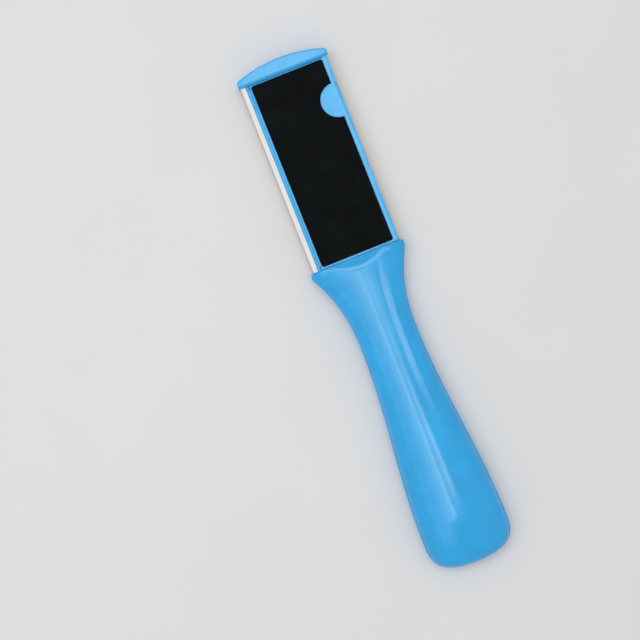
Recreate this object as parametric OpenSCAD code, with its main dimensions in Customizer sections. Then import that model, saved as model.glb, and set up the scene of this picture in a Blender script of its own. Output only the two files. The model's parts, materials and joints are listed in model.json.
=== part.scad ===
/* [Overall] */
// Length from the tip of the cap to the end of the handle
total_length = 246; // [236:1:256]
// Height of the abrasive face above the surface that the file lies on
face_height = 11; // [10.5:0.5:12.5]
// Distance from the tip of the cap to the front of the collar
collar_front = 97; // [90:0.5:102]
// Width of the steel channel over its rolled sides
head_width = 42.6; // [41:0.2:45]

/* [Rasp plate] */
// Thickness of the steel sheet
sheet = 0.5; // [0.4:0.05:0.6]
// How far the cap and the collar stand proud of the rasp face
plate_rise = 0.9; // [0.6:0.1:1.2]
// Outer radius of the rolled sides
roll_radius = 2.5; // [2:0.1:3]
// Outer radius of the fold at each lip
lip_radius = 0.8; // [0.7:0.1:1]
// Width of the lips that fold over onto the emery side
lip_width = 2.2; // [2:0.1:2.6]
// Depth of the lips below the abrasive face
lip_drop = 0.9; // [0.8:0.1:1.2]
// Diameter of each cutting hole
hole_d = 1; // [0.8:0.1:1.2]
// Pitch of the holes in a row, with the rows half a pitch apart
hole_pitch = 3.1; // [3:0.1:4]
// Bare steel between the cap and the first row
front_margin = 3.7; // [3:0.1:6]
// Bare steel between the last row and the collar
rear_margin = 4.2; // [3:0.1:6]
// Bare steel between the rolled side and the outer holes
side_margin = 1.4; // [1:0.1:3]
// Length of plate tucked under the collar
tuck = 1.5; // [1:0.1:2]

/* [End cap] */
// Distance from the tip to the straight inner face of the cap
cap_depth = 5.9; // [5.6:0.1:7]
// Rise of the arc at the front of the cap
cap_arc_rise = 3.8; // [3.4:0.1:4.6]
// How far the cap stands out beyond the steel at each side
cap_overhang = 0.5; // [0.3:0.1:1]
// How far the cap stands above the abrasive face
cap_proud = 1.1; // [0.8:0.1:1.4]
// Length of the sloped band between the cap and the back cover
band_length = 1; // [0.9:0.1:1.5]
// Radius along the outer edges of the cap
cap_edge = 1.2; // [0.8:0.1:1.4]

/* [Back cover] */
// Thickness of the back cover
cover_thick = 1.8; // [1.7:0.1:2]
// Radius of the hinge barrel along the long edge of the cover
barrel_radius = 0.85; // [0.8:0.05:1]
// Radius of each steel hinge pin
pin_radius = 0.4; // [0.35:0.05:0.45]
// Length of each steel hinge pin
pin_length = 9; // [7:0.5:12]
// Steel that shows outside the free edge of the cover
rim_show = 0.6; // [0.5:0.1:1.2]
// Width of the blue strip between the abrasive and the free edge
free_strip = 2.3; // [2:0.1:2.6]
// Width of the blue rim at the collar end of the abrasive
rear_rim = 0.7; // [0.5:0.1:1]
// Depth of the recess that the abrasive lies in
pad_recess = 0.8; // [0.7:0.05:0.9]
// Radius of the half-moon thumb tab
tab_radius = 7.9; // [6:0.1:9]
// Distance from the front of the abrasive to the centre of the tab
tab_centre = 20; // [16:0.1:30]
// Length of the pry notch in the free edge
notch_length = 2.8; // [2:0.1:4]

/* [Abrasive] */
// Thickness of the coated abrasive sheet
emery_thick = 0.5; // [0.4:0.05:0.55]
// Thickness of the adhesive film under it
adhesive_thick = 0.15; // [0.1:0.05:0.2]

/* [Head frame] */
// Thickness of the side rails of the head frame
rail = 1.9; // [1.6:0.1:2.2]
// Thickness of the end walls of the head frame
end_wall = 3; // [2.6:0.1:3.5]
// Height of the ribs that back the rasp plate
rib_height = 1.6; // [1:0.1:2]
// Length of the tongue that the handle shells clamp
tongue_length = 38; // [30:1:44]
// Width of the tongue
tongue_width = 15; // [12:0.5:16]

/* [Handle] */
// How far the collar stands out beyond the steel at each side
collar_overhang = 1.45; // [1.2:0.05:2]
// Width of the neck
neck_width = 27.5; // [26:0.5:30]
// Width of the belly near the end of the handle
belly_width = 40.3; // [36:0.5:44]
// Distance from the collar to the neck
neck_length = 39.5; // [36:0.5:46]
// Length of the rounded end of the handle
end_round = 15; // [12:0.5:20]
// Height of the crown above the abrasive face at the collar
collar_crown = 2.6; // [2:0.1:3.5]
// Thickness of the handle at the belly
belly_thick = 18; // [16.5:0.5:21]
// How far the neck is lifted off the surface
neck_lift = 1.2; // [0.6:0.1:1.6]
// Wall of the handle shells
shell_wall = 2.2; // [1.8:0.1:2.4]
// Width of the front shell's rim that shows round the back shell
seam_ledge = 0.6; // [0.4:0.1:0.9]

/* [Hidden] */
$fn = 64;

// Small clearances and overruns
overrun = 1;
slide_gap = 0.1;
run_gap = 0.06;
cover_gap = 0.3;
seat_gap = 0.05;

// Colours
plastic_blue = [0.25, 0.62, 0.88];
plastic_light = [0.40, 0.72, 0.94];
steel = [0.85, 0.83, 0.80];
grit = [0.07, 0.08, 0.08];
film = [0.75, 0.72, 0.62];

// Steel channel
plate_face = plate_rise;
plate_inside = plate_face + sheet;
lip_top = face_height - lip_drop;
lip_under = lip_top - sheet;
plate_front = cap_depth + seat_gap;
lip_rear_gap = 1.2;
seam_drop = 3;
seam = face_height - seam_drop;
tuck_drop = 3;
tuck_height = seam - tuck_drop;
tuck_end = collar_front + tuck;
row_step = hole_pitch / 2;
flat_width = head_width - 2 * roll_radius;
field_length = collar_front - rear_margin - cap_depth - front_margin;
field_width = flat_width - 2 * side_margin;
rows = floor(field_length / row_step) + 1;
columns = floor(field_width / hole_pitch) + 1;

// Back cover and its hinge
cover_front = cap_depth + band_length + cover_gap;
cover_rear = collar_front - cover_gap;
cover_under = face_height - cover_thick;
lip_gap = 0.35;
cover_left = head_width / 2 - lip_width - lip_gap;
cover_right = head_width / 2 - rim_show;
axis_y = cover_left - barrel_radius;
axis_z = face_height - barrel_radius;
knuckle = 1.6;
knuckle_gap = 0.2;
corner_wall = 0.3;
hinge_strip = 2 * barrel_radius + knuckle_gap + corner_wall;
front_knuckle_end = cover_front + knuckle;
rear_knuckle_end = cover_rear - knuckle;
barrel_front = front_knuckle_end + knuckle_gap;
barrel_rear = rear_knuckle_end - knuckle_gap;
pad_left = cover_left - hinge_strip;
pad_right = cover_right - free_strip;
front_rim = 0.35;
pad_front = cover_front + front_rim;
pad_rear = cover_rear - rear_rim;
pad_floor = face_height - pad_recess;
pad_edge_gap = 0.2;
pad_corner = 1;
tab_at = pad_front + tab_centre;
notch_depth = 0.9;
notch_at = tab_at - tab_radius + notch_length / 2;
catch_thick = 1;
catch_drop = 1.9;
catch_bead = 0.2;
catch_gap = 0.4;
stiffener_width = 1;
stiffener_drop = 1;
stiffener_spread = 16;

// Head frame
frame_half = head_width / 2 - sheet;
frame_corner = roll_radius - sheet;
rail_inside = frame_half - rail;
frame_front = cap_depth;
frame_rear = collar_front;
chamber_front = frame_front + end_wall;
chamber_rear = frame_rear - end_wall;
wall_top = cover_under - cover_gap;
shelf_thick = 1.1;
shelf_top = axis_z - barrel_radius - cover_gap;
shelf_edge = axis_y - barrel_radius;
inner_front = chamber_front + cover_gap;
inner_rear = chamber_rear - cover_gap;
catch_at = catch_gap - rail_inside;
rib_width = 1.2;
rib_count = 2;
tenon_width = 7;
tenon_height = 4;
tenon_length = 2.4;
tenon_spread = 20;
tongue_thick = 4.6;
tongue_rise = 1.6;
tongue_high = seam + tongue_rise;
tongue_low = tongue_high - tongue_thick;
tongue_end = collar_front + tongue_length;

// Handle form
collar_half = head_width / 2 + collar_overhang;
neck_half = neck_width / 2;
belly_half = belly_width / 2;
collar_round = 1.2;
collar_band = 2.5;
flare_start = collar_front + collar_band;
neck_at = collar_front + neck_length;
belly_at = total_length - end_round;
flare_power = 2.3;
end_power = 2.75;
end_sweep = 84;
side_round = 24;
side_power = 2.3;
collar_low_power = 7;
collar_up_power = 2;
grip_power = 2.3;
collar_low = seam;
collar_up = face_height + collar_crown - seam;
neck_low = seam - neck_lift;
belly_low = seam;
belly_up = belly_thick - seam;
collar_lift = 0.4;
front_wall = 3.6;
scoop_angle = 29.5;
scoop_radius = 70;
scoop_reach = 14;
arc_steps = 28;
collar_steps = 4;
body_steps = 34;
end_steps = 9;

// Bosses and pins that join the handle shells
boss_radius = 2.6;
dowel_radius = 1.25;
dowel_depth = 4;
tongue_boss_margin = 9;
grip_bosses = 2;
handle_rib = 1.2;
handle_ribs = 3;

// Place of a distance from the tip
function at(s) = total_length / 2 - s;

function blend(a, b, u) = a + (b - a) * u;
function limit(u) = min(max(u, 0), 1);
function ease(u) = (1 - cos(180 * limit(u))) / 2;

// Share of full size that is left where an end rounds off
function round_off(s, reach, power) =
    s <= total_length - reach
        ? 1
        : pow(1 - pow((s - total_length + reach) / reach, power) * pow(sin(end_sweep), 2), 1 / power);

function corner_inset(s) =
    s >= collar_front + collar_round
        ? 0
        : collar_round
            - sqrt(max(pow(collar_round, 2) - pow(collar_front + collar_round - s, 2), 0));

function grip_half(s) =
    s < flare_start ? collar_half - corner_inset(s)
    : s < neck_at
        ? neck_half + (collar_half - neck_half)
            * pow((neck_at - s) / (neck_at - flare_start), flare_power)
    : blend(neck_half, belly_half, ease((s - neck_at) / (belly_at - neck_at)))
        * round_off(s, end_round, end_power);

function side_share(s) = ease((s - collar_front) / (neck_at - collar_front));
function belly_share(s) = ease((s - neck_at) / (belly_at - neck_at));
function crown_share(s) = ease((s - collar_front) / (belly_at - collar_front));

function low_depth(s) =
    blend(blend(collar_low, neck_low, side_share(s)), belly_low, belly_share(s))
        * round_off(s, side_round, side_power)
        - corner_inset(s) * collar_lift / collar_round;

function up_height(s) =
    blend(collar_up, belly_up, crown_share(s)) * round_off(s, side_round, side_power);

function low_power(s) =
    blend(collar_low_power, grip_power, pow(side_share(s), 1 / 2));
function up_power(s) = blend(collar_up_power, grip_power, side_share(s));

// Stations along the handle, close together where it curves most
stations = concat(
    [for (k = [0:collar_steps])
        collar_front + collar_round * (1 - cos(90 * k / collar_steps))],
    [for (k = [1:body_steps])
        blend(collar_front + collar_round, belly_at, k / body_steps)],
    [for (k = [1:end_steps])
        belly_at + end_round * pow(sin(end_sweep * k / end_steps) / sin(end_sweep), 2 / end_power)]
);

// One half section: an arc of a superellipse from side to side, below or above the seam
function half_arc(s, half, rise, power) = [
    for (k = [0:arc_steps])
        let (
            a = 180 * k / arc_steps,
            c = cos(a),
            across = half * sign(c) * pow(abs(c), 2 / power),
            up = rise * pow(max(sin(a), 0), 2 / power)
        )
        [at(s), across, seam + up]
];

// The same arc carried past the seam, so that a hollow cuts clean through it
function open_arc(s, half, rise, power) =
    let (past = rise > 0 ? seam - overrun : seam + overrun)
    concat(
        [[at(s), half, past]],
        half_arc(s, half, rise, power),
        [[at(s), -half, past]]
    );

// Skin over rings of equal length, closed at both ends
module loft(rings, turned) {
    count = len(rings[0]);
    last = len(rings) - 1;
    points = [for (ring = rings) each ring];
    sides = [
        for (j = [0:last - 1], k = [0:count - 1])
            let (
                next = (k + 1) % count,
                a = j * count + k,
                b = j * count + next,
                c = (j + 1) * count + next,
                d = (j + 1) * count + k
            )
            each [[a, b, c], [a, c, d]]
    ];
    ends = [
        [for (k = [count - 1:-1:0]) k],
        [for (k = [0:count - 1]) last * count + k]
    ];
    faces = concat(sides, ends);
    polyhedron(points, turned ? [for (f = faces) [for (k = [len(f) - 1:-1:0]) f[k]]] : faces);
}

module low_body() {
    loft([for (s = stations) half_arc(s, grip_half(s), -low_depth(s), low_power(s))], true);
}

module up_body() {
    loft([
        for (s = stations)
            half_arc(s, grip_half(s) - seam_ledge, up_height(s), up_power(s))
    ], false);
}

// Stations of the hollow inside the shells
hollow_stations = [
    for (k = [0:body_steps])
        blend(collar_front + front_wall, total_length - 2 * shell_wall, k / body_steps)
];

module low_hollow() {
    loft([
        for (s = hollow_stations)
            open_arc(s, grip_half(s) - shell_wall, shell_wall - low_depth(s), low_power(s))
    ], true);
}

module up_hollow() {
    loft([
        for (s = hollow_stations)
            open_arc(s, grip_half(s) - shell_wall, up_height(s) - shell_wall, up_power(s))
    ], false);
}

// A flat outline in Y and Z carried along the file between two distances from the tip
module along(from, to) {
    translate([at(to), 0, 0]) rotate([90, 0, 90]) linear_extrude(to - from) children();
}

// A flat outline in X and Z carried across the file between two places
module across(from, to) {
    translate([0, to, 0]) rotate([90, 0, 0]) linear_extrude(to - from) children();
}

// A block between two distances from the tip
module block(from, to, right, left, low, high) {
    translate([at(to), right, low]) cube([to - from, left - right, high - low]);
}

// A bar across the file with one radius below and another above
module bar_section(half, low, high, low_radius, high_radius) {
    translate([-half, low + low_radius])
        square([2 * half, high - high_radius - low - low_radius]);
    translate([low_radius - half, low])
        square([2 * (half - low_radius), low_radius]);
    translate([high_radius - half, high - high_radius])
        square([2 * (half - high_radius), high_radius]);
    for (side = [-1, 1]) {
        translate([side * (half - low_radius), low + low_radius]) circle(low_radius);
        translate([side * (half - high_radius), high - high_radius]) circle(high_radius);
    }
}

module hinge_rod(from, to, radius) {
    translate([at(to), axis_y, axis_z]) rotate([0, 90, 0]) cylinder(h = to - from, r = radius);
}

function boss_places() = concat(
    [collar_front + tongue_boss_margin, tongue_end - tongue_boss_margin],
    [for (k = [1:grip_bosses]) blend(tongue_end, belly_at, k / (grip_bosses + 1))]
);

function rib_places() = [
    for (k = [1:handle_ribs])
        blend(tongue_end, total_length - 2 * shell_wall, (k - 1 / 2) / handle_ribs)
];

module handle_ribs_block() {
    for (s = rib_places())
        block(s - handle_rib / 2, s + handle_rib / 2, -belly_half, belly_half, 0, belly_thick);
}

// Window in the front of the shells that the tongue passes through
module tongue_window(gap) {
    block(
        collar_front - overrun, collar_front + front_wall + overrun,
        -tongue_width / 2 - gap, tongue_width / 2 + gap, tongue_low - gap, tongue_high + gap
    );
}

module handle_front_shell() {
    color(plastic_blue)
    difference() {
        union() {
            difference() {
                low_body();
                difference() {
                    low_hollow();
                    handle_ribs_block();
                }
            }
            for (s = boss_places())
                translate([at(s), 0, seam - low_depth(s) + shell_wall / 2])
                    cylinder(h = low_depth(s) - shell_wall / 2, r = boss_radius);
        }
        for (s = boss_places())
            translate([at(s), 0, seam - dowel_depth])
                cylinder(h = dowel_depth + overrun, r = dowel_radius + seat_gap);
        tongue_window(slide_gap);
        tuck_slot();
    }
}

// Slot in the collar for the rear edge of the rasp plate
module tuck_slot() {
    along(collar_front - overrun, tuck_end + slide_gap) {
        intersection() {
            difference() {
                bar_section(
                    head_width / 2 + slide_gap, plate_face - slide_gap, lip_top,
                    roll_radius + slide_gap, lip_radius
                );
                bar_section(
                    frame_half - slide_gap, plate_inside + slide_gap, lip_under,
                    frame_corner - slide_gap, lip_radius - sheet
                );
            }
            translate([-collar_half, 0])
                square([2 * collar_half, tuck_height + slide_gap]);
        }
    }
}

module handle_back_shell() {
    color(plastic_blue)
    difference() {
        union() {
            difference() {
                up_body();
                difference() {
                    up_hollow();
                    handle_ribs_block();
                }
            }
            for (s = boss_places()) {
                translate([at(s), 0, seam])
                    cylinder(h = up_height(s) - shell_wall / 2, r = boss_radius);
                translate([at(s), 0, seam - dowel_depth + slide_gap])
                    cylinder(h = dowel_depth, r = dowel_radius);
            }
        }
        tongue_window(slide_gap);
        tongue_room();
        scoop();
    }
}

// Room for the tongue where it reaches above the seam
module tongue_room() {
    difference() {
        block(
            collar_front + front_wall, tongue_end + slide_gap,
            -tongue_width / 2 - slide_gap, tongue_width / 2 + slide_gap,
            seam - overrun, tongue_high + slide_gap
        );
        for (s = boss_places())
            translate([at(s), 0, 0]) cylinder(h = face_height, r = boss_radius);
    }
}

// Shallow round hollow that rises from the end of the back cover into the crown of the handle
module scoop() {
    translate([at(collar_front), 0, face_height])
        rotate([0, scoop_angle - 90, 0])
        translate([scoop_radius, 0, -overrun])
        cylinder(h = scoop_reach + overrun, r = scoop_radius);
}

module head_frame() {
    color(plastic_blue)
    difference() {
        union() {
            difference() {
                along(frame_front, frame_rear)
                    bar_section(
                        frame_half - seat_gap, plate_inside, lip_under,
                        frame_corner, lip_radius - sheet
                    );
                block(
                    chamber_front, chamber_rear, -rail_inside, rail_inside,
                    -overrun, face_height
                );
                block(
                    frame_front - overrun, frame_rear + overrun, -rail_inside, rail_inside,
                    wall_top, face_height
                );
            }
            block(
                chamber_front - seat_gap, chamber_rear + seat_gap, shelf_edge, rail_inside + seat_gap,
                shelf_top - shelf_thick, shelf_top
            );
            for (k = [1:rib_count])
                let (s = blend(chamber_front, chamber_rear, k / (rib_count + 1)))
                block(
                    s - rib_width / 2, s + rib_width / 2,
                    -rail_inside - seat_gap, rail_inside + seat_gap,
                    plate_inside, plate_inside + rib_height
                );
            hinge_lug(cover_front, front_knuckle_end);
            hinge_lug(rear_knuckle_end, frame_rear);
            tongue();
        }
        hinge_rod(frame_front - overrun, front_knuckle_end + overrun, pin_radius);
        hinge_rod(rear_knuckle_end - overrun, frame_rear + overrun, pin_radius);
        for (side = [-1, 1])
            block(
                frame_front - overrun, frame_front + tenon_length + slide_gap,
                side * tenon_spread / 2 - tenon_width / 2 - slide_gap,
                side * tenon_spread / 2 + tenon_width / 2 + slide_gap,
                tongue_low - slide_gap, tongue_low + tenon_height + slide_gap
            );
    }
}

// Lug that carries one end of the cover
module hinge_lug(from, to) {
    hinge_rod(from, to, barrel_radius);
    block(
        from, to, axis_y - barrel_radius, axis_y + barrel_radius,
        shelf_top - shelf_thick, axis_z
    );
}

module tongue() {
    difference() {
        block(
            frame_rear - seat_gap, tongue_end, -tongue_width / 2, tongue_width / 2,
            tongue_low, tongue_high
        );
        for (s = boss_places())
            translate([at(s), 0, 0])
                cylinder(h = face_height, r = boss_radius + slide_gap);
    }
}

module end_cap() {
    arc_radius = (pow(head_width / 2 + cap_overhang, 2) + pow(cap_arc_rise, 2)) / (2 * cap_arc_rise);
    cap_half = head_width / 2 + cap_overhang;
    cap_top = face_height + cap_proud;
    flange_under = lip_top + slide_gap;
    color(plastic_light)
    union() {
        intersection() {
            translate([at(arc_radius), 0, 0])
                rotate_extrude($fn = 256) {
                    square([arc_radius - cap_edge, cap_top]);
                    translate([0, cap_edge]) square([arc_radius, cap_top - 2 * cap_edge]);
                    translate([arc_radius - cap_edge, cap_edge]) circle(cap_edge);
                    translate([arc_radius - cap_edge, cap_top - cap_edge]) circle(cap_edge);
                }
            along(0, cover_front)
                bar_section(cap_half, 0, cap_top, cap_edge, cap_edge);
            across(-cap_half, cap_half)
                polygon([
                    [at(0), 0],
                    [at(cap_depth), 0],
                    [at(cap_depth), flange_under],
                    [at(cap_depth + band_length), flange_under],
                    [at(cap_depth + band_length), face_height],
                    [at(cap_depth), cap_top],
                    [at(0), cap_top]
                ]);
        }
        for (side = [-1, 1])
            block(
                cap_depth - seat_gap, cap_depth + tenon_length,
                side * tenon_spread / 2 - tenon_width / 2,
                side * tenon_spread / 2 + tenon_width / 2,
                tongue_low, tongue_low + tenon_height
            );
    }
}

// Outline of the bent steel sheet
module channel_section() {
    difference() {
        bar_section(head_width / 2, plate_face, lip_top, roll_radius, lip_radius);
        bar_section(frame_half, plate_inside, lip_under, frame_corner, lip_radius - sheet);
        translate([lip_width - head_width / 2, lip_under - overrun])
            square([head_width - 2 * lip_width, overrun + overrun + sheet]);
    }
}

module rasp_plate() {
    first_row = plate_front + front_margin + (field_length - (rows - 1) * row_step) / 2;
    color(steel)
    difference() {
        along(plate_front, tuck_end) channel_section();
        block(
            collar_front - lip_rear_gap, tuck_end + overrun, -collar_half, collar_half,
            tuck_height, face_height
        );
        block(
            notch_at - notch_length / 2, notch_at + notch_length / 2,
            -cover_right - notch_depth / 2, -rail_inside + overrun, lip_under - overrun, face_height
        );
        for (row = [0:rows - 1])
            let (count = columns - row % 2)
            for (k = [0:count - 1])
                translate([
                    at(first_row + row * row_step),
                    (k - (count - 1) / 2) * hole_pitch,
                    plate_face - overrun
                ])
                    cylinder(h = sheet + 2 * overrun, r = hole_d / 2, $fn = 16);
    }
}

module front_hinge_pin() {
    color(steel) hinge_rod(cover_front, cover_front + pin_length, pin_radius);
}

module rear_hinge_pin() {
    color(steel) hinge_rod(frame_rear - pin_length, frame_rear, pin_radius);
}

// Outline of the abrasive, drawn from above, with the thumb tab left out of it
module pad_outline(gap) {
    difference() {
        translate([at(pad_rear) + gap, gap - pad_right])
            rounded_sheet(pad_rear - pad_front - 2 * gap, pad_left + pad_right - 2 * gap, pad_corner);
        translate([at(tab_at), -pad_right]) circle(tab_radius + gap);
    }
}

module rounded_sheet(length, width, radius) {
    translate([radius, 0]) square([length - 2 * radius, width]);
    translate([0, radius]) square([length, width - 2 * radius]);
    for (x = [radius, length - radius], y = [radius, width - radius])
        translate([x, y]) circle(radius);
}

module back_cover() {
    color(plastic_light)
    difference() {
        union() {
            difference() {
                block(
                    cover_front, cover_rear, slide_gap + seat_gap - rail_inside, axis_y,
                    cover_under, face_height
                );
                for (ends = [[cover_front - overrun, barrel_front], [barrel_rear, cover_rear + overrun]])
                    block(
                        ends[0], ends[1], pad_left + corner_wall, cover_left,
                        cover_under - overrun, face_height + overrun
                    );
            }
            block(
                cover_front, cover_rear, -cover_right, -rail_inside + overrun,
                lip_top + slide_gap, face_height
            );
            hinge_rod(barrel_front, barrel_rear, barrel_radius);
            block(
                inner_front, inner_rear, catch_at, catch_at + catch_thick,
                cover_under - catch_drop, cover_under + cover_thick / 2
            );
            translate([at(inner_rear), catch_at, cover_under - catch_drop + catch_thick])
                rotate([0, 90, 0]) cylinder(h = inner_rear - inner_front, r = catch_bead);
            for (side = [-1, 0, 1])
                block(
                    inner_front, inner_rear,
                    side * stiffener_spread / 2 - stiffener_width / 2,
                    side * stiffener_spread / 2 + stiffener_width / 2,
                    cover_under - stiffener_drop, cover_under + cover_thick / 4
                );
        }
        translate([0, 0, pad_floor]) linear_extrude(pad_recess + overrun) pad_outline(0);
        hinge_rod(
            barrel_front - overrun, cover_front + pin_length + slide_gap, pin_radius + run_gap
        );
        hinge_rod(
            frame_rear - pin_length - slide_gap, barrel_rear + overrun, pin_radius + run_gap
        );
        block(
            notch_at - notch_length / 2, notch_at + notch_length / 2,
            -cover_right - overrun, notch_depth - cover_right,
            cover_under - overrun, face_height + overrun
        );
    }
}

module adhesive_film() {
    color(film)
    translate([0, 0, pad_floor]) linear_extrude(adhesive_thick) pad_outline(pad_edge_gap);
}

module emery_sheet() {
    color(grit)
    translate([0, 0, pad_floor + adhesive_thick])
        linear_extrude(emery_thick) pad_outline(pad_edge_gap);
}

handle_front_shell();
handle_back_shell();
head_frame();
end_cap();
rasp_plate();
front_hinge_pin();
rear_hinge_pin();
back_cover();
adhesive_film();
emery_sheet();
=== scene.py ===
import json
import math

import bmesh
import bpy
from bpy.props import FloatProperty, FloatVectorProperty, PointerProperty
from mathutils import Matrix, Vector


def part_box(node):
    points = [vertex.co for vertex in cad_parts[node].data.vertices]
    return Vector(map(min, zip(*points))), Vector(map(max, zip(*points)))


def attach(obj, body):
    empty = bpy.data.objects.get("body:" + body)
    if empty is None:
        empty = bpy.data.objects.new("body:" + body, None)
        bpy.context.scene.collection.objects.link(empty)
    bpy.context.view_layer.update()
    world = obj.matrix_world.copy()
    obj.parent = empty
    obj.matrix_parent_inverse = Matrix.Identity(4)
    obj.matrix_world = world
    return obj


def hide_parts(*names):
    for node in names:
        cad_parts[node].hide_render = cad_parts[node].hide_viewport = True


bl_info = {
    "name": "Foot file",
    "version": (1, 0, 0),
    "blender": (4, 5, 0),
    "location": "3D View > Sidebar > Foot file",
    "description": "Dresses the packed foot file and sets up its stage",
    "category": "Object",
}

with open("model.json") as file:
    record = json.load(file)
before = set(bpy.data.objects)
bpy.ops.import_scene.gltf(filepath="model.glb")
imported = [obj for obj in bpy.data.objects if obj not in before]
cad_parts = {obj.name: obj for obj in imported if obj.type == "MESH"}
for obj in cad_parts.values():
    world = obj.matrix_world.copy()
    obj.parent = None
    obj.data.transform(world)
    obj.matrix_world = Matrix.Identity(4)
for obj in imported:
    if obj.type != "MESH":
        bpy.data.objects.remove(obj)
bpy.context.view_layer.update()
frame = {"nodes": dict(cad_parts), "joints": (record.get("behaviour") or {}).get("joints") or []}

MM = 0.001
ROUND_PROFILE = 0.5

# Distances within which places count as the same, and how square to an axis a face has to be
NEAR = 0.01 * MM
TOUCH = 1e-7
FACING = 0.9

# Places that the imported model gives
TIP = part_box("end_cap")[1].x
HANDLE_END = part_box("handle_front_shell")[0].x
COLLAR_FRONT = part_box("handle_front_shell")[1].x
COLLAR_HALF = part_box("handle_front_shell")[1].y
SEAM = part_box("handle_front_shell")[1].z
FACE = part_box("back_cover")[1].z
CAP_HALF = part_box("end_cap")[1].y
CAP_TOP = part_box("end_cap")[1].z
PLATE_LOW, PLATE_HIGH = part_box("rasp_plate")
COVER_LOW, COVER_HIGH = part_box("back_cover")
EMERY_LOW, EMERY_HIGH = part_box("emery_sheet")
HINGE_Y, HINGE_Z = frame["joints"][0]["pos_m"][1:]


def size(name, description, millimetres):
    """A length that the user may change, shown in the scene's units."""
    return FloatProperty(
        name=name, description=description, default=millimetres * MM, unit="LENGTH", precision=5
    )


def colour(name, description, red, green, blue):
    """A colour that the user may change."""
    return FloatVectorProperty(
        name=name, description=description, default=(red, green, blue), size=3,
        min=0, max=1, subtype="COLOR",
    )


class HandleSizes(bpy.types.PropertyGroup):
    neck_width: size("Neck width", "Width of the neck", 27.5)
    belly_width: size("Belly width", "Width of the belly", 40.3)
    neck_length: size("Neck length", "Distance from the collar to the neck", 39.5)
    end_round: size("End round", "Length of the rounded end of the handle", 15)
    side_round: size("Side round", "Length over which the end gets thinner", 24)
    collar_crown: size("Collar crown", "Height of the crown above the abrasive at the collar", 2.6)
    neck_lift: size("Neck lift", "How far the neck is lifted off the surface", 1.2)
    belly_thick: size("Belly thickness", "Thickness of the handle at the belly", 18)
    seam_ledge: size("Seam ledge", "Width of the front shell's rim round the back shell", 0.6)
    seam_edge: size("Seam edge", "Radius of the edges along the seam", 0.15)
    wall: size("Wall", "Wall of the shells", 2.2)
    scoop_angle: FloatProperty(
        name="Scoop angle", description="Slope of the scoop behind the cover",
        default=math.radians(29.5), subtype="ANGLE",
    )
    scoop_radius: size("Scoop radius", "Radius of the scoop across the file", 70)
    scoop_step: size("Scoop step", "Height of the fine step between the bevel and the crown", 0.12)
    blue: colour("Blue", "Colour of the moulded handle", 0.024, 0.405, 0.83)


class HeadSizes(bpy.types.PropertyGroup):
    cap_depth: size("Cap depth", "Distance from the tip to the inner face of the cap", 5.9)
    cap_arc_rise: size("Cap arc rise", "Rise of the arc at the front of the cap", 3.8)
    cap_edge: size("Cap edge", "Radius along the outer edges of the cap", 0.7)
    cap_corner: size("Cap corner", "Radius of the corners of the cap, seen from above", 1.7)
    band_length: size("Band length", "Length of the sloped band behind the cap's face", 1)
    flange: size("Flange", "Thickness of the thin end of the sloped band", 0.8)
    sheet: size("Sheet", "Thickness of the steel sheet", 0.5)
    roll_radius: size("Roll radius", "Outer radius of the rolled sides", 2.5)
    lip_radius: size("Lip radius", "Outer radius of the fold at each lip", 0.6)
    lip_width: size("Lip width", "Width of the lips over the emery side", 2.5)
    lip_rear_gap: size("Lip rear gap", "Gap between the lips and the collar", 0.3)
    tuck_height: size("Tuck height", "Height of the plate's rear edge", 5)
    hole_d: size("Hole diameter", "Diameter of each cutting hole", 1)
    hole_pitch: size("Hole pitch", "Pitch of the holes in a row", 3.1)
    rim_height: size("Rim height", "Height of the raised rim round each hole", 0.18)
    front_margin: size("Front margin", "Bare steel in front of the first row", 3.7)
    rear_margin: size("Rear margin", "Bare steel behind the last row", 4.2)
    side_margin: size("Side margin", "Bare steel outside the outer holes", 1.4)
    steel: colour("Steel", "Colour of the rasp plate", 0.64, 0.635, 0.62)


class CoverSizes(bpy.types.PropertyGroup):
    thick: size("Thickness", "Thickness of the cover", 1.8)
    barrel_radius: size("Barrel radius", "Radius of the hinge barrel", 0.85)
    knuckle: size("Knuckle", "Length of each knuckle of the frame, with its gap", 1.8)
    hinge_strip: size("Hinge strip", "Width from the recess to the barrel's outer side", 2.2)
    corner_wall: size("Corner wall", "Wall between the recess and the knuckle", 0.3)
    free_strip: size("Free strip", "Width of the blue strip at the free edge", 2.3)
    front_rim: size("Front rim", "Width of the rim at the cap", 0.35)
    rear_rim: size("Rear rim", "Width of the rim at the collar", 0.7)
    recess: size("Recess", "Depth of the recess for the abrasive", 0.8)
    pad_corner: size("Pad corner", "Radius of the abrasive's corners", 1)
    pad_gap: size("Pad gap", "Gap round the abrasive", 0.2)
    tab_radius: size("Tab radius", "Radius of the half-moon thumb tab", 7.9)
    tab_centre: size("Tab centre", "Distance from the front of the recess to the tab", 20)
    notch_length: size("Notch length", "Length of the pry notch", 2.8)
    notch_depth: size("Notch depth", "Depth of the pry notch", 0.9)
    edge: size("Edge", "Radius along the visible edges", 0.13)
    # The cover and the cap are the same moulded plastic as the handle. This lighter copy of its
    # blue is painted light for the overhead light that their flat faces catch.
    blue: colour("Blue", "Colour of the cover and the cap", 0.033, 0.45, 0.89)
    grit: colour("Grit", "Colour of the abrasive", 0.0026, 0.0036, 0.0040)


class StageSettings(bpy.types.PropertyGroup):
    camera_x: size("Camera place along", "Place of the camera along the file", 5.48)
    camera_y: size("Camera place across", "Place of the camera across the file", 26.18)
    camera_height: size("Camera height", "Height of the camera above the surface", 750)
    camera_turn: FloatProperty(
        name="Camera turn", description="Turn of the picture round the view",
        default=math.radians(-111.68), subtype="ANGLE",
    )
    view_width: size("View width", "Width of the picture at the abrasive face", 290.3)
    floor: colour("Floor", "Colour of the surface under the file", 0.80, 0.80, 0.80)


def at(s):
    """Place along the file of a distance from the tip."""
    return TIP - s


def limit(u):
    return min(max(u, 0.0), 1.0)


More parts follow.
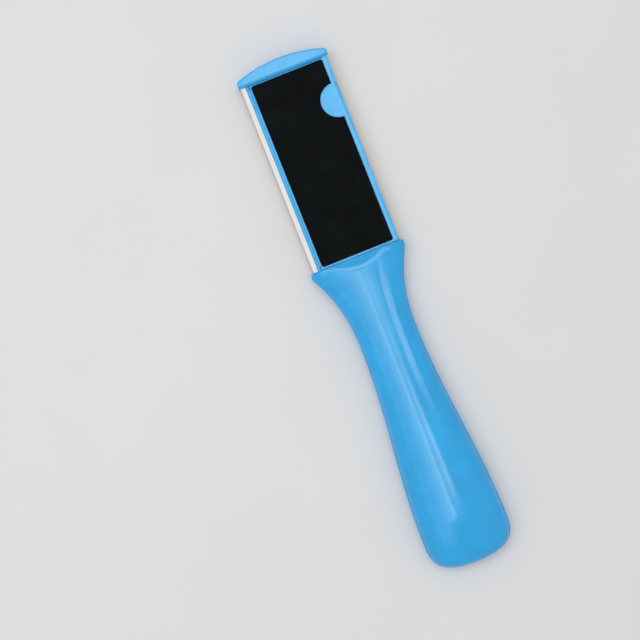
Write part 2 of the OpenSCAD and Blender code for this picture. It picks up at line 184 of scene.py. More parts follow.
def ease(u):
    return (1 - math.cos(math.pi * limit(u))) / 2


def blend(a, b, u):
    return a + (b - a) * u


def steps_between(a, b, count):
    """Evenly spaced values from just after the first to the second."""
    return [blend(a, b, k / count) for k in range(1, count + 1)]


def arc_points(x, y, radius, start, end, steps):
    """Points of an arc between two angles in degrees, both ends included."""
    points = []
    for k in range(steps + 1):
        angle = math.radians(blend(start, end, k / steps))
        points.append((x + radius * math.cos(angle), y + radius * math.sin(angle)))
    return points


def unique(items):
    """The items once each, in the order in which they come."""
    return list(dict.fromkeys(items))


def with_borders(faces):
    """Faces with their edges and corners."""
    edges = unique(e for f in faces for e in f.edges)
    verts = unique(v for f in faces for v in f.verts)
    return faces + edges + verts


def outline_face(bm, points):
    """A flat face from its corners."""
    return bm.faces.new([bm.verts.new(p) for p in points])


def extrude_rim(bm, edges):
    """Draws edges out on the spot and returns the copies' corners and edges."""
    made = bmesh.ops.extrude_edge_only(bm, edges=edges)["geom"]
    fresh = {g for g in made if isinstance(g, bmesh.types.BMVert)}
    rim = [
        g for g in made
        if isinstance(g, bmesh.types.BMEdge) and g.verts[0] in fresh and g.verts[1] in fresh
    ]
    return fresh, rim


def lift(bm, face, offset):
    """Draws a face out into a closed block and returns the far face."""
    made = bmesh.ops.extrude_face_region(bm, geom=[face])["geom"]
    verts = [g for g in made if isinstance(g, bmesh.types.BMVert)]
    bmesh.ops.translate(bm, verts=verts, vec=offset)
    return next(g for g in made if isinstance(g, bmesh.types.BMFace))


def push_out(bm, faces):
    """Draws part of a surface out and returns the corners that are to be moved."""
    edges = unique(e for f in faces for e in f.edges)
    made = bmesh.ops.extrude_face_region(bm, geom=faces + edges)["geom"]
    return [g for g in made if isinstance(g, bmesh.types.BMVert)]


def split(bm, point, normal, geom=None):
    """Cuts faces along a plane and keeps both sides."""
    geom = geom or bm.verts[:] + bm.edges[:] + bm.faces[:]
    bmesh.ops.bisect_plane(bm, geom=geom, dist=TOUCH, plane_co=point, plane_no=normal)


def round_edges(bm, edges, radius, segments):
    """Rounds edges with a radius."""
    bmesh.ops.bevel(
        bm, geom=edges, offset=radius, segments=segments, profile=ROUND_PROFILE,
        affect="EDGES", material=-1, clamp_overlap=False,
    )


def put_in_order(bm):
    """Sorts corners, edges and faces by place, so that every run builds the same mesh."""
    def place(part):
        corners = [part] if isinstance(part, bmesh.types.BMVert) else part.verts
        return sorted(tuple(round(c, 7) for c in v.co) for v in corners)

    for parts in (bm.verts, bm.edges, bm.faces):
        order = {part: k for k, part in enumerate(sorted(parts, key=place))}
        parts.sort(key=order.get)
        parts.index_update()


def close_up(bm, distance=TOUCH):
    """Merges doubles and points every face outwards."""
    bmesh.ops.remove_doubles(bm, verts=bm.verts[:], dist=distance)
    bmesh.ops.recalc_face_normals(bm, faces=bm.faces[:])


def finish_piece(bm, name, body, nodes, material, sharp=35):
    """Makes the object, gives it its finish and stands it in for its nodes."""
    mesh = bpy.data.meshes.new(name)
    put_in_order(bm)
    rims = [e.index for e in bm.edges if e.is_boundary]
    bm.to_mesh(mesh)
    bm.free()
    mesh.materials.append(material)
    mesh.shade_smooth()
    mesh.set_sharp_from_angle(angle=math.radians(sharp))
    for index in rims:
        mesh.edges[index].use_edge_sharp = True
    piece = bpy.data.objects.new(name, mesh)
    bpy.context.scene.collection.objects.link(piece)
    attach(piece, body)
    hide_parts(*nodes)
    return piece


def dress_node(node, material):
    """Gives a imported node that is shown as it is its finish."""
    mesh_object = frame["nodes"][node]
    if not mesh_object.material_slots:
        mesh_object.data.materials.append(material)
    for holder in mesh_object.material_slots:
        holder.material = material


class Finish:
    """A material and the few nodes that its pattern needs."""

    def __init__(self, name):
        self.material = bpy.data.materials.new(name)
        self.material.use_nodes = True
        self.nodes = self.material.node_tree.nodes
        self.links = self.material.node_tree.links
        self.shader = self.nodes["Principled BSDF"]
        self.place = self.nodes.new("ShaderNodeTexCoord").outputs["Object"]

    def set(self, **values):
        for name, value in values.items():
            self.shader.inputs[name.replace("_", " ")].default_value = value

    def stretched(self, x, y, z):
        """Object coordinates with each axis scaled by itself."""
        mapping = self.nodes.new("ShaderNodeMapping")
        mapping.inputs["Scale"].default_value = (x, y, z)
        self.links.new(self.place, mapping.inputs["Vector"])
        return mapping.outputs["Vector"]

    def noise(self, scale, detail, vector=None):
        texture = self.nodes.new("ShaderNodeTexNoise")
        texture.inputs["Scale"].default_value = scale
        texture.inputs["Detail"].default_value = detail
        self.links.new(vector or self.place, texture.inputs["Vector"])
        return texture.outputs["Fac"]

    def ramp(self, source, stops):
        """Turns a value into a colour through stops of (place, colour)."""
        ramp = self.nodes.new("ShaderNodeValToRGB")
        elements = ramp.color_ramp.elements
        while len(elements) < len(stops):
            elements.new(0.5)
        for element, (place, value) in zip(elements, stops):
            element.position = place
            element.color = (*value, 1)
        self.links.new(source, ramp.inputs["Fac"])
        return ramp.outputs["Color"]

    def between(self, source, low, high):
        """Maps a value from 0 to 1 onto a range."""
        span = self.nodes.new("ShaderNodeMapRange")
        span.inputs["To Min"].default_value = low
        span.inputs["To Max"].default_value = high
        self.links.new(source, span.inputs["Value"])
        return span.outputs["Result"]

    def bump(self, source, strength, distance, below=None):
        bump = self.nodes.new("ShaderNodeBump")
        bump.inputs["Strength"].default_value = strength
        bump.inputs["Distance"].default_value = distance
        self.links.new(source, bump.inputs["Height"])
        if below:
            self.links.new(below, bump.inputs["Normal"])
        return bump.outputs["Normal"]

    def drive(self, socket, source):
        self.links.new(source, self.shader.inputs[socket])


def moulded_blue(name, base):
    """Glossy blue polypropylene with a faint cloudiness and a slight waviness from the mould."""
    finish = Finish(name)
    cloud = finish.noise(90, detail=3)
    darker = [channel * 0.93 for channel in base]
    lighter = [min(channel * 1.05, 1) for channel in base]
    finish.drive("Base Color", finish.ramp(cloud, [(0.3, darker), (0.7, lighter)]))
    scuff = finish.noise(420, detail=4)
    finish.drive("Roughness", finish.between(scuff, 0.09, 0.16))
    wave = finish.noise(160, detail=1)
    fine = finish.noise(2600, detail=2)
    swell = finish.bump(wave, 0.05, 0.3 * MM)
    finish.drive("Normal", finish.bump(fine, 0.04, 0.02 * MM, below=swell))
    finish.set(IOR=1.5)
    return finish.material


def satin_steel(name, base):
    """Stainless sheet with fine drawing lines along the file."""
    finish = Finish(name)
    lines = finish.noise(1, detail=3, vector=finish.stretched(120, 5200, 5200))
    stain = finish.noise(70, detail=3)
    warm = [base[0] * 1.02, base[1], base[2] * 0.97]
    finish.drive("Base Color", finish.ramp(stain, [(0.35, base), (0.7, warm)]))
    finish.drive("Roughness", finish.between(lines, 0.5, 0.64))
    finish.drive("Normal", finish.bump(lines, 0.12, 0.03 * MM))
    finish.set(Metallic=1.0)
    return finish.material


def black_grit(name, base):
    """Dark coated abrasive: packed grains in black resin."""
    finish = Finish(name)
    cells = finish.nodes.new("ShaderNodeTexVoronoi")
    cells.inputs["Scale"].default_value = 4200
    finish.links.new(finish.place, cells.inputs["Vector"])
    worn = finish.noise(120, detail=4)
    dusty = [channel * 2.2 for channel in base]
    finish.drive("Base Color", finish.ramp(worn, [(0.35, base), (0.75, dusty)]))
    finish.drive("Roughness", finish.between(worn, 0.62, 0.8))
    finish.drive("Normal", finish.bump(cells.outputs["Distance"], 0.5, 0.12 * MM))
    finish.set(Specular_IOR_Level=0.06)
    return finish.material


def adhesive(name):
    """Slightly mottled adhesive film."""
    finish = Finish(name)
    mottle = finish.noise(900, detail=3)
    stops = [(0.3, (0.44, 0.38, 0.25)), (0.7, (0.56, 0.50, 0.36))]
    finish.drive("Base Color", finish.ramp(mottle, stops))
    finish.set(Roughness=0.6)
    return finish.material


def pin_wire(name):
    """Drawn steel wire."""
    finish = Finish(name)
    lines = finish.noise(1, detail=2, vector=finish.stretched(200, 9000, 9000))
    stops = [(0.3, (0.42, 0.42, 0.43)), (0.7, (0.56, 0.56, 0.56))]
    finish.drive("Base Color", finish.ramp(lines, stops))
    finish.drive("Roughness", finish.between(lines, 0.2, 0.34))
    finish.set(Metallic=1.0)
    return finish.material


# Steps of the mesh round a section and along the handle
ARC_STEPS = 96
SCOOP_RINGS = 80
GRIP_RINGS = 84
END_RINGS = 28
COLLAR_ROUND_STEPS = 6
SCOOP_LENGTH = 10 * MM

# Forms of the handle that have no setting of their own
FLARE_POWER = 2.3
END_POWER = 2.75
SIDE_POWER = 2.3
END_SWEEP = 88.5
COLLAR_LOW_POWER = 7
COLLAR_UP_POWER = 2
GRIP_POWER = 2.3
COLLAR_ROUND = 1.2 * MM
COLLAR_LIFT = 0.4 * MM
COLLAR_BAND = 2.5 * MM
FRONT_WALL = 3.6 * MM
BEVEL_FROM = 0.4 * MM
BEVEL_TO = 0.7 * MM
STEP_RUN = 0.13 * MM
LEDGE_FADE = 4 * MM


class HandleForm:
    """Sections of the handle by distance from the tip."""

    def __init__(self, sizes):
        self.sizes = sizes
        self.start = TIP - COLLAR_FRONT
        self.length = TIP - HANDLE_END
        self.flare = self.start + COLLAR_BAND
        self.neck = self.start + sizes.neck_length
        self.belly = self.length - sizes.end_round

    def corner(self, s):
        """How far the collar's rounded front corner draws in."""
        past = self.start + COLLAR_ROUND - s
        if past <= 0:
            return 0.0
        return COLLAR_ROUND - math.sqrt(max(COLLAR_ROUND ** 2 - past ** 2, 0))

    def rounded_off(self, s, reach, power):
        """Share of full size that is left where the end rounds off."""
        u = limit((s - self.length + reach) / reach)
        return (1 - u ** power * math.sin(math.radians(END_SWEEP)) ** 2) ** (1 / power)

    def collar_share(self, s):
        return ease((s - self.start) / (self.neck - self.start))

    def belly_share(self, s):
        return ease((s - self.neck) / (self.belly - self.neck))

    def crown_share(self, s):
        return ease((s - self.start) / (self.belly - self.start))

    def half(self, s):
        neck_half = self.sizes.neck_width / 2
        if s < self.flare:
            return COLLAR_HALF - self.corner(s)
        if s < self.neck:
            share = ((self.neck - s) / (self.neck - self.flare)) ** FLARE_POWER
            return blend(neck_half, COLLAR_HALF, share)
        full = blend(neck_half, self.sizes.belly_width / 2, self.belly_share(s))
        return full * self.rounded_off(s, self.sizes.end_round, END_POWER)

    def low(self, s):
        """Depth of the front shell below the seam."""
        depth = blend(SEAM, SEAM - self.sizes.neck_lift, self.collar_share(s))
        depth = blend(depth, SEAM, self.belly_share(s))
        depth *= self.rounded_off(s, self.sizes.side_round, SIDE_POWER)
        return depth - self.corner(s) * COLLAR_LIFT / COLLAR_ROUND

    def up(self, s):
        """Height of the back shell above the seam."""
        collar = FACE + self.sizes.collar_crown - SEAM
        height = blend(collar, self.sizes.belly_thick - SEAM, self.crown_share(s))
        return height * self.rounded_off(s, self.sizes.side_round, SIDE_POWER)

    def low_power(self, s):
        return blend(COLLAR_LOW_POWER, GRIP_POWER, math.sqrt(self.collar_share(s)))

    def up_power(self, s):
        return blend(COLLAR_UP_POWER, GRIP_POWER, self.collar_share(s))

    def scooped(self, s, y, z):
        """Height of the crown with the scoop in it: a round hollow, a bevel and a fine step."""
        angle, radius = self.sizes.scoop_angle, self.sizes.scoop_radius
        sag = radius - math.sqrt(radius ** 2 - y ** 2)
        hollow = FACE + math.tan(angle) * (s - self.start) + sag / math.cos(angle)
        past = hollow - z
        if past <= -BEVEL_FROM:
            return hollow
        if past <= BEVEL_TO:
            share = (past + BEVEL_FROM) / (BEVEL_TO + BEVEL_FROM)
            return z - blend(BEVEL_FROM, self.sizes.scoop_step, share)
        return z - self.sizes.scoop_step * limit(1 - (past - BEVEL_TO) / STEP_RUN)

    def stations(self):
        """Distances from the tip, close together at the collar and the end, with the hollow's
        two walls as doubled places."""
        hollow_from = self.start + FRONT_WALL
        hollow_to = self.length - 2 * self.sizes.wall
        rounded = self.start + COLLAR_ROUND
        corner = arc_points(rounded, 0, COLLAR_ROUND, 180, 90, COLLAR_ROUND_STEPS)
        places = [x for x, _ in corner]
        places += steps_between(rounded, rounded + SCOOP_LENGTH, SCOOP_RINGS)
        places += steps_between(rounded + SCOOP_LENGTH, self.belly, GRIP_RINGS)
        turn = math.sin(math.radians(END_SWEEP))
        for sweep in steps_between(0, math.radians(END_SWEEP), END_RINGS):
            share = (math.sin(sweep) / turn) ** (2 / END_POWER)
            places.append(self.belly + self.sizes.end_round * share)
        front = [s for s in places if s < hollow_from] + [hollow_from]
        middle = [hollow_from] + [s for s in places if hollow_from < s < hollow_to] + [hollow_to]
        end = [hollow_to] + [s for s in places if s > hollow_to]
        return [(s, False) for s in front] + [(s, True) for s in middle] + [(s, False) for s in end]


def superellipse(half, rise, power):
    """Half of a superellipse from side to side, as pairs of across and up."""
    pairs = []
    for k in range(ARC_STEPS + 1):
        c = math.cos(math.pi * k / ARC_STEPS)
        s = max(math.sin(math.pi * k / ARC_STEPS), 0)
        pairs.append((half * math.copysign(abs(c) ** (2 / power), c), rise * s ** (2 / power)))
    return pairs


def shell_ring(form, s, hollow, upper):
    """One section of a shell: its outer arc, then its inner arc back again."""
    sizes = form.sizes
    half = form.half(s) - (sizes.seam_ledge if upper else 0) * limit(form.half(s) / LEDGE_FADE)
    rise = form.up(s) if upper else form.low(s)
    power = form.up_power(s) if upper else form.low_power(s)
    edge = min(sizes.seam_edge, half / 4, rise / 4)
    side = [(half - edge * (1 - math.sin(a)), edge * (1 - math.cos(a))) for a in (0, math.pi / 4)]
    side.append((half, edge))
    outer = [(y, max(z, edge)) for y, z in superellipse(half, rise, power)[1:-1]]
    outer = side + outer + [(-y, z) for y, z in reversed(side)]
    inner_half = max(form.half(s) - sizes.wall, form.half(s) / 2)
    inner_rise = rise - sizes.wall if hollow else 0.0
    inner = reversed(superellipse(inner_half, inner_rise, power))
    if upper:
        outer = [(y, form.scooped(s, y, SEAM + z)) for y, z in outer]
        inner = [(y, SEAM + z) for y, z in inner]
    else:
        outer = [(y, SEAM - z) for y, z in outer]
        inner = [(y, SEAM - z) for y, z in inner]
    return [Vector((at(s), y, z)) for y, z in outer + inner]


def loft(bm, rings):
    """Skin drawn from ring to ring, closed at both ends."""
    turn = bm.verts.layers.int.new("turn")
    verts = bmesh.ops.create_circle(bm, segments=len(rings[0]), radius=MM)["verts"]
    edges = bm.edges[:]
    for k, vert in enumerate(verts):
        vert[turn] = k
        vert.co = rings[0][k]
    bmesh.ops.contextual_create(bm, geom=edges)
    for ring in rings[1:]:
        verts, edges = extrude_rim(bm, edges)
        for vert in verts:
            vert.co = ring[vert[turn]]
    bmesh.ops.contextual_create(bm, geom=edges)


def build_shell(form, upper):
    """One of the two shells, hollow between its end walls."""
    bm = bmesh.new()
    loft(bm, [shell_ring(form, s, hollow, upper) for s, hollow in form.stations()])
    close_up(bm)
    return bm


class FOOTFILE_OT_handle(bpy.types.Operator):
    """Moulds the two shells of the handle"""
    bl_idname = "foot_file.handle"
    bl_label = "Handle shells"

    def execute(self, context):
        sizes = context.scene.file_handle
        form = HandleForm(sizes)
        blue = moulded_blue("handle_blue", sizes.blue)
        finish_piece(
            build_shell(form, False), "front_handle", "file_body", ["handle_front_shell"],
            blue,
        )
        finish_piece(
            build_shell(form, True), "back_handle", "file_body", ["handle_back_shell"],
            blue,
        )
        return {"FINISHED"}


CAP_WELD = 0.002 * MM
CAP_RIDGE = 0.2 * MM
CAP_CORNER_STEPS = 8
CAP_FRONT_STEPS = 48


def cap_outline(head, rear):
    """Outline of the cap from above: an arc in front with rounded corners."""
    rise = head.cap_arc_rise
    radius = (CAP_HALF ** 2 + rise ** 2) / (2 * rise)
    corner = head.cap_corner
    centre = TIP - radius
    corner_y = CAP_HALF - corner
    corner_x = centre + math.sqrt((radius - corner) ** 2 - corner_y ** 2)
    turn = math.degrees(math.atan2(corner_y, corner_x - centre))
    points = [(rear, -CAP_HALF)]
    points += arc_points(corner_x, -corner_y, corner, -90, -turn, CAP_CORNER_STEPS)
    points += arc_points(centre, 0, radius, -turn, turn, CAP_FRONT_STEPS)[1:-1]
    points += arc_points(corner_x, corner_y, corner, turn, 90, CAP_CORNER_STEPS)
    points.append((rear, CAP_HALF))
    return [(x, y, 0) for x, y in points]


def build_cap(head):
    """The cap: a rounded block with a sloped band behind its face."""
    bm = bmesh.new()
    rear = at(head.cap_depth)
    lift(bm, outline_face(bm, cap_outline(head, rear)), (0, 0, CAP_TOP))
    close_up(bm)
    rims = [
        e for e in bm.edges
        if abs(e.verts[0].co.z - e.verts[1].co.z) < TOUCH
        and not all(abs(v.co.x - rear) < TOUCH for v in e.verts)
    ]
    round_edges(bm, rims, head.cap_edge, 6)
    thin = FACE - head.flange
    split(bm, (0, 0, thin), (0, 0, 1))
    split(bm, (0, 0, FACE), (0, 0, 1))
    bm.normal_update()
    band = [
        f for f in bm.faces
        if f.normal.x < -FACING and f.calc_center_median().z > thin
    ]
    for vert in push_out(bm, band):
        vert.co.x -= head.band_length
        vert.co.z = min(vert.co.z, FACE)
    close_up(bm, CAP_WELD)
    ridge = [
        e for e in bm.edges
        if all(abs(v.co.x - rear) < CAP_WELD and v.co.z > CAP_TOP - CAP_WELD for v in e.verts)
    ]
    round_edges(bm, ridge, CAP_RIDGE, 3)
    close_up(bm, CAP_WELD)
    return bm


class FOOTFILE_OT_cap(bpy.types.Operator):
    """Moulds the curved cap at the tip"""
    bl_idname = "foot_file.cap"
    bl_label = "End cap"

    def execute(self, context):
        # The cap takes the cover's lighter blue, which is painted light on the flat faces.
        blue = moulded_blue("cap_blue_painted_light", context.scene.file_cover.blue)
        finish_piece(
            build_cap(context.scene.file_head), "curved_cap", "file_body", ["end_cap"],
            blue,
        )
        return {"FINISHED"}


HOLE_SIDES = 12

# Rim round a hole: its top and its foot against the hole's radius, its height at the hole
# against the full height
RIM_TOP = 1.16
RIM_FOOT = 1.48
RIM_INNER_SHARE = 0.8


def punched_cell(bm, head, x, y):
    """A patch of the sheet, as long as the step between two rows and as wide as the pitch, with a
    hole whose rim is pushed up. Its outline has corners at every quarter of the pitch."""
    step = head.hole_pitch / 4
    hole = head.hole_d / 2
    rings = [
        (hole, head.rim_height * RIM_INNER_SHARE),
        (hole * RIM_TOP, head.rim_height),
        (hole * RIM_FOOT, 0),
    ]
    border = [
        (1, 0), (1, 1), (1, 2), (0, 2), (-1, 2), (-1, 1),
        (-1, 0), (-1, -1), (-1, -2), (0, -2), (1, -2), (1, -1),
    ]
    turn = bm.verts.layers.int["turn"]
    verts = bmesh.ops.create_circle(bm, segments=HOLE_SIDES, radius=hole)["verts"]
    edges = unique(e for v in verts for e in v.link_edges)
    for k, vert in enumerate(verts):
        vert[turn] = k
    for number in range(len(rings) + 1):
        if number:
            verts, edges = extrude_rim(bm, edges)
        for vert in verts:
            if number < len(rings):
                radius, height = rings[number]
                angle = math.tau * vert[turn] / HOLE_SIDES
                across, up = y + radius * math.sin(angle), PLATE_LOW.z - height
                vert.co = (x + radius * math.cos(angle), across, up)
            else:
                along, across = border[vert[turn]]
                vert.co = (x + along * step, y + across * step, PLATE_LOW.z)


def repeat(bm, old, step, times):
    """Copies all that isn't in the old set of corners, a number of times."""
    verts = [v for v in bm.verts if v not in old]
    edges = unique(e for v in verts for e in v.link_edges)
    faces = unique(f for v in verts for f in v.link_faces)
    bmesh.ops.spin(
        bm, geom=verts + edges + faces, cent=(0, 0, 0), axis=(0, 0, 1), dvec=step,
        angle=0, steps=times, use_duplicate=True,
    )


def punched_rows(bm, head, first, rows, columns, parity):
    """Every other row of the hole pattern; the shorter rows get two plain patches at each side."""
    old = set(bm.verts)
    pitch = head.hole_pitch
    x = at(first + parity * pitch / 2)
    count = columns - parity
    punched_cell(bm, head, x, -(count - 1) / 2 * pitch)
    repeat(bm, old, (0, pitch, 0), count - 1)
    if parity:
        for side in (-1, 1):
            place = Matrix.Translation((x, side * (columns / 2 - 0.25) * pitch, PLATE_LOW.z))
            bmesh.ops.create_grid(bm, x_segments=2, y_segments=2, size=pitch / 4, matrix=place)
    repeat(bm, old, (-pitch, 0, 0), (rows - 1 - parity) // 2)


def border_edges(bm, test):
    """Open edges of the sheet whose middle passes a test."""
    return [
        e for e in bm.edges
        if e.is_boundary and test((e.verts[0].co + e.verts[1].co) / 2)
    ]


def draw_out(bm, edges, move):
    """Draws open edges out by moving their copies, and returns the copies."""
    verts, edges = extrude_rim(bm, edges)
    for vert in verts:
        vert.co = move(vert.co)
    return edges


ROLL_STEPS = 8
FOLD_STEPS = 6


def side_profile(head):
    """Outer face of the sheet from the flat to the lip's edge, as pairs of across and up."""
    half = PLATE_HIGH.y
    roll, fold = head.roll_radius, head.lip_radius
    low, high = PLATE_LOW.z, PLATE_HIGH.z
    points = arc_points(half - roll, low + roll, roll, -90, 0, ROLL_STEPS)
    points.append((half, head.tuck_height))
    points += arc_points(half - fold, high - fold, fold, 0, 90, FOLD_STEPS)
    points.append((half - head.lip_width, high))
    return points


def build_plate(head, cover):
    """The channel: a punched flat, two rolled sides and two lips, drawn as one sheet."""
    bm = bmesh.new()
    bm.verts.layers.int.new("turn")
    pitch = head.hole_pitch
    step = pitch / 2
    flat = 2 * (PLATE_HIGH.y - head.roll_radius)
    collar = TIP - COLLAR_FRONT
    field = collar - head.rear_margin - head.cap_depth - head.front_margin
    rows = math.floor(field / step) + 1
    columns = math.floor((flat - 2 * head.side_margin) / pitch) + 1
    front = TIP - PLATE_HIGH.x
    first = front + head.front_margin + (field - (rows - 1) * step) / 2
    punched_rows(bm, head, first, rows, columns, 0)
    punched_rows(bm, head, first, rows, columns, 1)
    bmesh.ops.remove_doubles(bm, verts=bm.verts[:], dist=NEAR)
    field_front = at(first) + step / 2
    field_rear = at(first + (rows - 1) * step) - step / 2
    edges = border_edges(bm, lambda p: p.x > field_front - NEAR)
    draw_out(bm, edges, lambda p: Vector((PLATE_HIGH.x, p.y, p.z)))
    edges = border_edges(bm, lambda p: p.x < field_rear + NEAR)
    lip_end = COLLAR_FRONT + head.lip_rear_gap
    for x in (lip_end, COLLAR_FRONT, PLATE_LOW.x):
        edges = draw_out(bm, edges, lambda p: Vector((x, p.y, p.z)))
    edge_half = columns * pitch / 2
    for side in (-1, 1):
        edges = border_edges(bm, lambda p: abs(p.y - side * edge_half) < NEAR)
        for across, up in side_profile(head):
            edges = draw_out(bm, edges, lambda p: Vector((p.x, side * across, up)))
    rear_cut = [
        f for f in bm.faces
        if f.calc_center_median().x < lip_end and f.calc_center_median().z > head.tuck_height
    ]
    bmesh.ops.delete(bm, geom=rear_cut, context="FACES")
    notch = notch_place(cover)
    for x in notch:
        split(bm, (x, 0, 0), (1, 0, 0), geom=with_borders(lip_faces(bm, head)))
    lip_cut = [
        f for f in lip_faces(bm, head)
        if notch[0] < f.calc_center_median().x < notch[1]
    ]
    bmesh.ops.delete(bm, geom=lip_cut, context="FACES")
    bmesh.ops.recalc_face_normals(bm, faces=bm.faces[:])
    lowest = min(bm.faces, key=lambda f: f.calc_center_median().z)
    if lowest.normal.z > 0:
        bmesh.ops.reverse_faces(bm, faces=bm.faces[:])
    return bm


def lip_faces(bm, head):
    """Faces of the lip on the side of the thumb tab."""
    inside = PLATE_HIGH.y - head.lip_radius
    return [
        f for f in bm.faces
        if f.calc_center_median().z > PLATE_HIGH.z - NEAR
        and -inside < f.calc_center_median().y < 0
    ]


def notch_place(cover):
    """The two ends of the pry notch along the file, rear one first."""
    centre = tab_x(cover) + cover.tab_radius - cover.notch_length / 2
    return centre - cover.notch_length / 2, centre + cover.notch_length / 2


class FOOTFILE_OT_rasp(bpy.types.Operator):
    """Punches and bends the stainless rasp plate"""
    bl_idname = "foot_file.rasp"
    bl_label = "Rasp plate"

    def execute(self, context):
        head = context.scene.file_head
        steel = satin_steel("rasp_steel", head.steel)
        piece = finish_piece(
            build_plate(head, context.scene.file_cover), "punched_plate", "file_body",
            ["rasp_plate"], steel, sharp=40,
        )
        wall = piece.modifiers.new("sheet", "SOLIDIFY")
        wall.thickness = head.sheet
        wall.offset = -1
        wall.use_even_offset = True
        return {"FINISHED"}


def tab_x(cover):
    """Place of the thumb tab's centre along the file."""
    return COVER_HIGH.x - cover.front_rim - cover.tab_centre


PAD_CORNER_STEPS = 6
HALF_MOON_STEPS = 48


def pad_outline(cover, gap, z):
    """Outline of the abrasive or its recess from above, with the half-moon left out."""
    left = HINGE_Y + cover.barrel_radius - cover.hinge_strip - gap
    right = COVER_LOW.y + cover.free_strip
    low = COVER_LOW.x + cover.rear_rim + gap
    high = COVER_HIGH.x - cover.front_rim - gap
    corner = cover.pad_corner
    radius = cover.tab_radius + gap
    rise = math.degrees(math.asin(gap / radius))
    steps = PAD_CORNER_STEPS
    points = arc_points(low + corner, right + gap + corner, corner, 180, 270, steps)
    points += arc_points(tab_x(cover), right, radius, 180 - rise, rise, HALF_MOON_STEPS)
    points += arc_points(high - corner, right + gap + corner, corner, 270, 360, steps)
    points += arc_points(high - corner, left - corner, corner, 0, 90, steps)
    points += arc_points(low + corner, left - corner, corner, 90, 180, steps)
    return [(x, y, z) for x, y in points]


# Groove beside the barrel, free edge, ribs and catch of the cover
GROOVE_IN = HINGE_Y - 0.7 * MM
GROOVE_AT = HINGE_Y - 0.5 * MM
GROOVE_DEPTH = 0.28 * MM
GROOVE_WALL = 0.18 * MM
FREE_RIM = 0.8 * MM
INNER_EDGE = 18.75 * MM
RIB_SPREAD = 16 * MM
RIB_WIDTH = 1 * MM
RIB_DROP = 1 * MM
CATCH_AT = 18.5 * MM
CATCH_DROP = 1.9 * MM
CATCH_BEAD = 0.2 * MM
RIB_REAR = 3 * MM
BARREL_STEPS = 20
FLAT_ANGLE = 0.5
SHARP_ANGLE = 40


def cover_section(cover):
    """Section of the cover across the file, from the free edge over the top to the barrel and
    back underneath."""
    under = FACE - cover.thick
    radius = cover.barrel_radius
    top = 90 + math.degrees(math.asin((HINGE_Y - GROOVE_AT - GROOVE_WALL) / radius))
    points = [(COVER_LOW.y, FACE - FREE_RIM), (COVER_LOW.y, FACE), (GROOVE_IN, FACE)]
    points.append((GROOVE_AT, FACE - GROOVE_DEPTH))
    points += arc_points(HINGE_Y, HINGE_Z, radius, top, -90, BARREL_STEPS)
    points += [(HINGE_Y, under), (-INNER_EDGE, under), (-INNER_EDGE, FACE - FREE_RIM)]
    return points


def build_cover(cover):
    """The cover: a moulded strip with its barrel, notch, ribs and recess."""
    bm = bmesh.new()
    rear = COVER_LOW.x + cover.knuckle
    front = COVER_HIGH.x - cover.knuckle
    section = [(rear, y, z) for y, z in cover_section(cover)]
    lift(bm, outline_face(bm, section), (front - rear, 0, 0))
    close_up(bm)
    strip = HINGE_Y + cover.barrel_radius - cover.hinge_strip + cover.corner_wall
    split(bm, (0, strip, 0), (0, 1, 0))
    for sign, reach in ((1, COVER_HIGH.x), (-1, COVER_LOW.x)):
        bm.normal_update()
        ends = [
            f for f in bm.faces
            if f.normal.x * sign > FACING and f.calc_center_median().y < strip
        ]
        for vert in push_out(bm, ends):
            vert.co.x = reach
    close_up(bm)
    cut_notch(bm, cover)
    add_ribs(bm, cover)
    sink_recess(bm, cover)
    close_up(bm)
    put_in_order(bm)
    bmesh.ops.dissolve_limit(
        bm, angle_limit=math.radians(FLAT_ANGLE), verts=bm.verts[:], edges=bm.edges[:],
        delimit={"NORMAL", "SEAM"},
    )
    soften_cover(bm, cover)
    close_up(bm)
    return bm


def cut_notch(bm, cover):
    """Takes the pry notch out of the thin free edge."""
    ends = notch_place(cover)
    back = COVER_LOW.y + cover.notch_depth
    split(bm, (0, back, 0), (0, 1, 0))
    for x in ends:
        edge_strip = [f for f in bm.faces if f.calc_center_median().y < back]
        split(bm, (x, 0, 0), (1, 0, 0), geom=with_borders(edge_strip))
    inside = [
        f for f in bm.faces
        if ends[0] < f.calc_center_median().x < ends[1] and f.calc_center_median().y < back
    ]
    bmesh.ops.delete(bm, geom=inside, context="FACES")
    middle = FACE - FREE_RIM / 2
    open_edges = [e for e in bm.edges if e.is_boundary]
    top = [e for e in open_edges if all(v.co.z > middle for v in e.verts)]
    bottom = [e for e in open_edges if all(v.co.z < middle for v in e.verts)]
    bmesh.ops.bridge_loops(bm, edges=top + bottom)


def mark_line(bm, x, z):
    """Marks a line across the underside, so that no face can close round a rib."""
    for edge in bm.edges:
        if all(abs(v.co.x - x) < TOUCH and abs(v.co.z - z) < TOUCH for v in edge.verts):
            edge.seam = True


